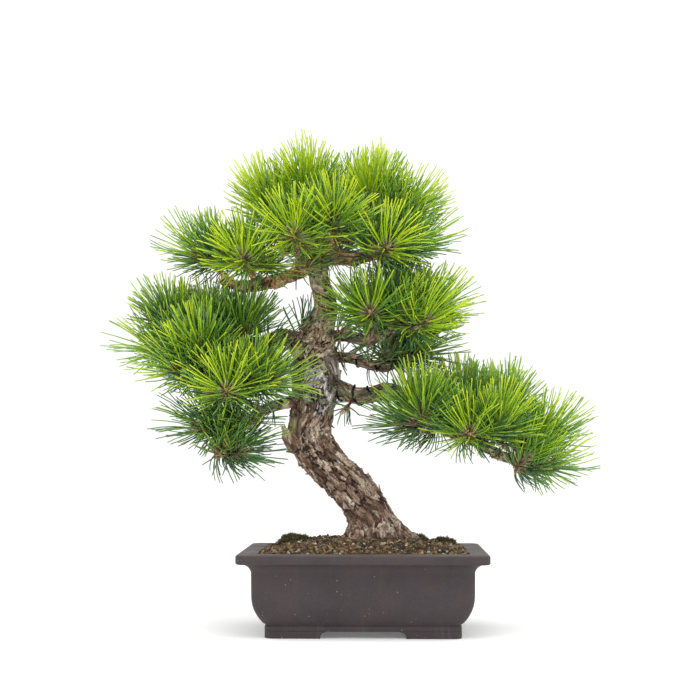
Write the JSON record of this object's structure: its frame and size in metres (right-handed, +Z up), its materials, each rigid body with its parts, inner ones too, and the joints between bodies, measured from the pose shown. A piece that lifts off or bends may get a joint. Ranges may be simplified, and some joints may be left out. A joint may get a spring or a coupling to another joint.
{
  "type": "bonsai tree in a pot",
  "caption": "Pine bonsai with a leaning, bent trunk, layered pads of long needles and a low branch reaching to one side, in an unglazed rectangular pot with a turned-out lip and corner feet.",
  "frame": {"origin": "centre of the underside of the whole object's box, on the surface that the pot's feet stand on", "axes": "+Z up, +X to the viewer's right along the pot's long side, towards the low reaching branch, +Y away from the viewer"},
  "size_m": [0.535, 0.2938, 0.5326],
  "materials": {
    "clay": "unglazed, dark purple-brown stoneware, matt with a faint sheen",
    "screen_plastic": "moulded mesh",
    "gravel": "coarse grit",
    "soil": "baked clay granules with pumice and dark grit",
    "moss": "dry cushion moss",
    "old_bark": "deeply cracked, flaking grey-brown bark",
    "young_bark": "scaly orange-brown bark",
    "copper_wire": "anodised copper brown",
    "black_wire": "anodised black",
    "needles_bright": "waxy yellow-green needles",
    "needles_green": "waxy green needles",
    "needles_dark": "waxy dark green needles"
  },
  "bodies": {
    "root": {"pot": "clay", "drain_screen_left": "screen_plastic", "drain_screen_right": "screen_plastic", "drainage_gravel": "gravel", "soil": "soil", "moss_left": "moss", "moss_right": "moss", "moss_right_back": "moss", "trunk": "old_bark", "branch_left": "old_bark", "branch_lower_left": "old_bark", "branch_cascade": "old_bark", "branch_right": "old_bark", "branch_right_low": "old_bark", "branch_crown_left": "young_bark", "branch_crown_right": "young_bark", "branch_crown_back": "young_bark", "wire_left": "copper_wire", "wire_right_low": "black_wire", "wire_cascade": "black_wire", "needles_crown_top": "needles_bright", "needles_crown_top_back": "needles_dark", "needles_crown_top_right": "needles_bright", "needles_crown_front_left": "needles_bright", "needles_crown_front": "needles_bright", "needles_crown_front_right": "needles_bright", "needles_crown_right_low": "needles_bright", "needles_crown_right_up": "needles_bright", "needles_crown_right": "needles_green", "needles_crown_left_up": "needles_bright", "needles_crown_left": "needles_green", "needles_crown_left_back": "needles_dark", "needles_crown_right_back": "needles_dark", "needles_crown_back": "needles_dark", "needles_left_star": "needles_bright", "needles_left_front": "needles_green", "needles_left_inner": "needles_green", "needles_left_tip": "needles_green", "needles_left_tip_up": "needles_green", "needles_left_middle": "needles_green", "needles_left_up": "needles_green", "needles_left_up_inner": "needles_dark", "needles_left_back": "needles_dark", "needles_left_low": "needles_dark", "needles_left_low_inner": "needles_dark", "needles_right_star": "needles_green", "needles_right_front": "needles_bright", "needles_right_up": "needles_green", "needles_right_tip": "needles_green", "needles_right_back": "needles_dark", "needles_right_low": "needles_dark", "needles_cascade_inner": "needles_green", "needles_cascade_under": "needles_dark", "needles_cascade_front": "needles_green", "needles_cascade_middle": "needles_bright", "needles_cascade_tip": "needles_green", "needles_cascade_tip_up": "needles_green", "needles_cascade_up": "needles_green", "needles_cascade_back": "needles_green"}
  },
  "joints": []
}
